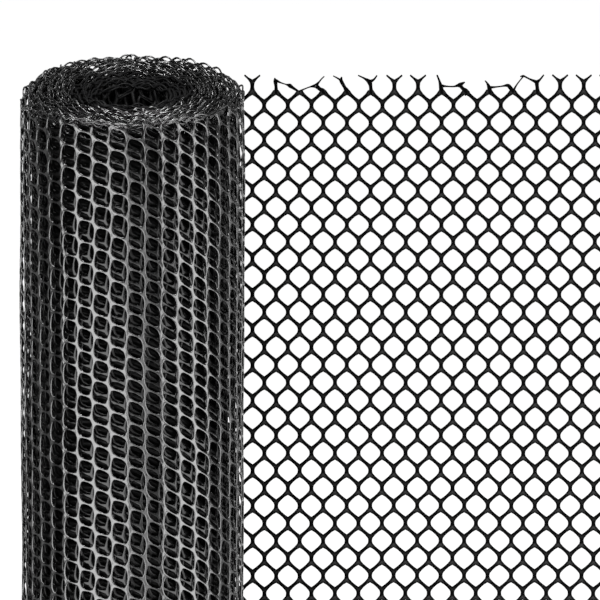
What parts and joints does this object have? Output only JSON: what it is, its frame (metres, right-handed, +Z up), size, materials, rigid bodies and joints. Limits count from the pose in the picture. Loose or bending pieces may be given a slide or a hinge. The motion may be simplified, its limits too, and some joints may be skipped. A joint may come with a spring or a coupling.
{
  "type": "roll of plastic poultry netting",
  "caption": "Standing roll of black plastic poultry netting with hexagonal cells, wound round an open core, with its loose end pulled out flat to one side as a net panel.",
  "frame": {"origin": "middle of the whole part's footprint, on the surface that the roll and the lower edge of the loose end stand on", "axes": "+Z up along the axis of the roll, +X along the loose end from the roll to its cut edge, +Y from the front of the roll to its back, where the loose end leaves it"},
  "size_m": [0.5102, 0.1806, 0.6085],
  "materials": {
    "netting": "black extruded polyethylene with a soft, slightly uneven gloss"
  },
  "bodies": {
    "root": {"wound_roll": "netting", "loose_end": "netting"}
  },
  "joints": []
}
